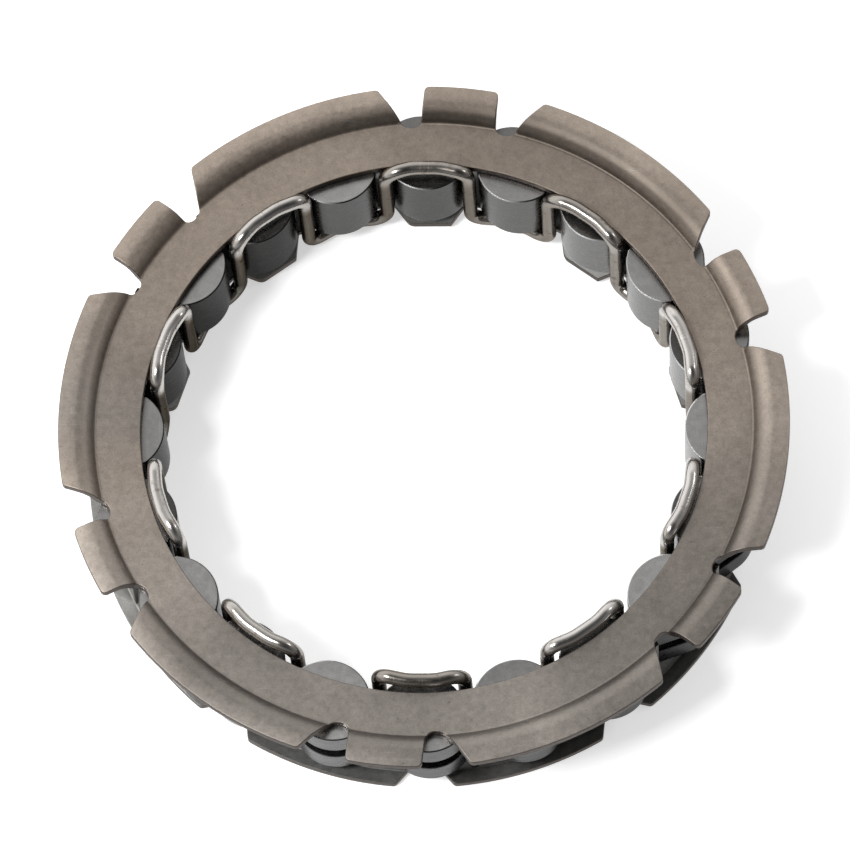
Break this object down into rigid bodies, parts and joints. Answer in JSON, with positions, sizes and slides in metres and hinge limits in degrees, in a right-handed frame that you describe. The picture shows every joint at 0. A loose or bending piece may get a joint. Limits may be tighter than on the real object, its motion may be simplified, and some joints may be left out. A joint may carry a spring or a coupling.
{
  "type": "sprag clutch",
  "caption": "Ring-shaped one-way sprag clutch: figure-of-eight sprags in a pressed two-plate cage with tabbed rims, a serpentine retaining wire and a garter spring.",
  "frame": {"origin": "on the clutch axis at mid-thickness, the centre of the bounding box", "axes": "+Z along the clutch axis, out of the face with the wide tabbed rim; +Y through the middle of sprag_01, the first of the sprags that the wire passes over on the +Z side"},
  "size_m": [0.076, 0.076, 0.0136],
  "materials": {
    "cage_steel": "warm grey satin, oiled pressed steel",
    "sprag_steel": "hardened and ground, neutral grey",
    "wire_steel": "polished drawn wire",
    "spring_steel": "drawn spring wire, satin"
  },
  "bodies": {
    "cage": {"upper_plate": "cage_steel", "lower_plate": "cage_steel", "wire_retainer": "wire_steel", "garter_spring": "spring_steel"},
    "sprag_01": {"sprag_01": "sprag_steel"},
    "sprag_02": {"sprag_02": "sprag_steel"},
    "sprag_03": {"sprag_03": "sprag_steel"},
    "sprag_04": {"sprag_04": "sprag_steel"},
    "sprag_05": {"sprag_05": "sprag_steel"},
    "sprag_06": {"sprag_06": "sprag_steel"},
    "sprag_07": {"sprag_07": "sprag_steel"},
    "sprag_08": {"sprag_08": "sprag_steel"},
    "sprag_09": {"sprag_09": "sprag_steel"},
    "sprag_10": {"sprag_10": "sprag_steel"},
    "sprag_11": {"sprag_11": "sprag_steel"},
    "sprag_12": {"sprag_12": "sprag_steel"},
    "sprag_13": {"sprag_13": "sprag_steel"},
    "sprag_14": {"sprag_14": "sprag_steel"},
    "sprag_15": {"sprag_15": "sprag_steel"},
    "sprag_16": {"sprag_16": "sprag_steel"},
    "sprag_17": {"sprag_17": "sprag_steel"},
    "sprag_18": {"sprag_18": "sprag_steel"},
    "sprag_19": {"sprag_19": "sprag_steel"},
    "sprag_20": {"sprag_20": "sprag_steel"}
  },
  "joints": [
    {"name": "sprag_01_rock", "type": "hinge", "parent": "cage", "child": "sprag_01", "pos_m": [0, 0.0317, 0], "axis": [0, 0, 1], "range_deg": [-2, 6], "stiffness_Nm_per_rad": 0.02},
    {"name": "sprag_02_rock", "type": "hinge", "parent": "cage", "child": "sprag_02", "pos_m": [0.0098, 0.03015, 0], "axis": [0, 0, 1], "range_deg": [-2, 6], "stiffness_Nm_per_rad": 0.02},
    {"name": "sprag_03_rock", "type": "hinge", "parent": "cage", "child": "sprag_03", "pos_m": [0.01863, 0.02565, 0], "axis": [0, 0, 1], "range_deg": [-2, 6], "stiffness_Nm_per_rad": 0.02},
    {"name": "sprag_04_rock", "type": "hinge", "parent": "cage", "child": "sprag_04", "pos_m": [0.02565, 0.01863, 0], "axis": [0, 0, 1], "range_deg": [-2, 6], "stiffness_Nm_per_rad": 0.02},
    {"name": "sprag_05_rock", "type": "hinge", "parent": "cage", "child": "sprag_05", "pos_m": [0.03015, 0.0098, 0], "axis": [0, 0, 1], "range_deg": [-2, 6], "stiffness_Nm_per_rad": 0.02},
    {"name": "sprag_06_rock", "type": "hinge", "parent": "cage", "child": "sprag_06", "pos_m": [0.0317, 0, 0], "axis": [0, 0, 1], "range_deg": [-2, 6], "stiffness_Nm_per_rad": 0.02},
    {"name": "sprag_07_rock", "type": "hinge", "parent": "cage", "child": "sprag_07", "pos_m": [0.03015, -0.0098, 0], "axis": [0, 0, 1], "range_deg": [-2, 6], "stiffness_Nm_per_rad": 0.02},
    {"name": "sprag_08_rock", "type": "hinge", "parent": "cage", "child": "sprag_08", "pos_m": [0.02565, -0.01863, 0], "axis": [0, 0, 1], "range_deg": [-2, 6], "stiffness_Nm_per_rad": 0.02},
    {"name": "sprag_09_rock", "type": "hinge", "parent": "cage", "child": "sprag_09", "pos_m": [0.01863, -0.02565, 0], "axis": [0, 0, 1], "range_deg": [-2, 6], "stiffness_Nm_per_rad": 0.02},
    {"name": "sprag_10_rock", "type": "hinge", "parent": "cage", "child": "sprag_10", "pos_m": [0.0098, -0.03015, 0], "axis": [0, 0, 1], "range_deg": [-2, 6], "stiffness_Nm_per_rad": 0.02},
    {"name": "sprag_11_rock", "type": "hinge", "parent": "cage", "child": "sprag_11", "pos_m": [0, -0.0317, 0], "axis": [0, 0, 1], "range_deg": [-2, 6], "stiffness_Nm_per_rad": 0.02},
    {"name": "sprag_12_rock", "type": "hinge", "parent": "cage", "child": "sprag_12", "pos_m": [-0.0098, -0.03015, 0], "axis": [0, 0, 1], "range_deg": [-2, 6], "stiffness_Nm_per_rad": 0.02},
    {"name": "sprag_13_rock", "type": "hinge", "parent": "cage", "child": "sprag_13", "pos_m": [-0.01863, -0.02565, 0], "axis": [0, 0, 1], "range_deg": [-2, 6], "stiffness_Nm_per_rad": 0.02},
    {"name": "sprag_14_rock", "type": "hinge", "parent": "cage", "child": "sprag_14", "pos_m": [-0.02565, -0.01863, 0], "axis": [0, 0, 1], "range_deg": [-2, 6], "stiffness_Nm_per_rad": 0.02},
    {"name": "sprag_15_rock", "type": "hinge", "parent": "cage", "child": "sprag_15", "pos_m": [-0.03015, -0.0098, 0], "axis": [0, 0, 1], "range_deg": [-2, 6], "stiffness_Nm_per_rad": 0.02},
    {"name": "sprag_16_rock", "type": "hinge", "parent": "cage", "child": "sprag_16", "pos_m": [-0.0317, 0, 0], "axis": [0, 0, 1], "range_deg": [-2, 6], "stiffness_Nm_per_rad": 0.02},
    {"name": "sprag_17_rock", "type": "hinge", "parent": "cage", "child": "sprag_17", "pos_m": [-0.03015, 0.0098, 0], "axis": [0, 0, 1], "range_deg": [-2, 6], "stiffness_Nm_per_rad": 0.02},
    {"name": "sprag_18_rock", "type": "hinge", "parent": "cage", "child": "sprag_18", "pos_m": [-0.02565, 0.01863, 0], "axis": [0, 0, 1], "range_deg": [-2, 6], "stiffness_Nm_per_rad": 0.02},
    {"name": "sprag_19_rock", "type": "hinge", "parent": "cage", "child": "sprag_19", "pos_m": [-0.01863, 0.02565, 0], "axis": [0, 0, 1], "range_deg": [-2, 6], "stiffness_Nm_per_rad": 0.02},
    {"name": "sprag_20_rock", "type": "hinge", "parent": "cage", "child": "sprag_20", "pos_m": [-0.0098, 0.03015, 0], "axis": [0, 0, 1], "range_deg": [-2, 6], "stiffness_Nm_per_rad": 0.02}
  ],
  "couplings": [
    {"joint": "sprag_02_rock", "follows": "sprag_01_rock", "ratio": 1},
    {"joint": "sprag_03_rock", "follows": "sprag_01_rock", "ratio": 1},
    {"joint": "sprag_04_rock", "follows": "sprag_01_rock", "ratio": 1},
    {"joint": "sprag_05_rock", "follows": "sprag_01_rock", "ratio": 1},
    {"joint": "sprag_06_rock", "follows": "sprag_01_rock", "ratio": 1},
    {"joint": "sprag_07_rock", "follows": "sprag_01_rock", "ratio": 1},
    {"joint": "sprag_08_rock", "follows": "sprag_01_rock", "ratio": 1},
    {"joint": "sprag_09_rock", "follows": "sprag_01_rock", "ratio": 1},
    {"joint": "sprag_10_rock", "follows": "sprag_01_rock", "ratio": 1},
    {"joint": "sprag_11_rock", "follows": "sprag_01_rock", "ratio": 1},
    {"joint": "sprag_12_rock", "follows": "sprag_01_rock", "ratio": 1},
    {"joint": "sprag_13_rock", "follows": "sprag_01_rock", "ratio": 1},
    {"joint": "sprag_14_rock", "follows": "sprag_01_rock", "ratio": 1},
    {"joint": "sprag_15_rock", "follows": "sprag_01_rock", "ratio": 1},
    {"joint": "sprag_16_rock", "follows": "sprag_01_rock", "ratio": 1},
    {"joint": "sprag_17_rock", "follows": "sprag_01_rock", "ratio": 1},
    {"joint": "sprag_18_rock", "follows": "sprag_01_rock", "ratio": 1},
    {"joint": "sprag_19_rock", "follows": "sprag_01_rock", "ratio": 1},
    {"joint": "sprag_20_rock", "follows": "sprag_01_rock", "ratio": 1}
  ]
}
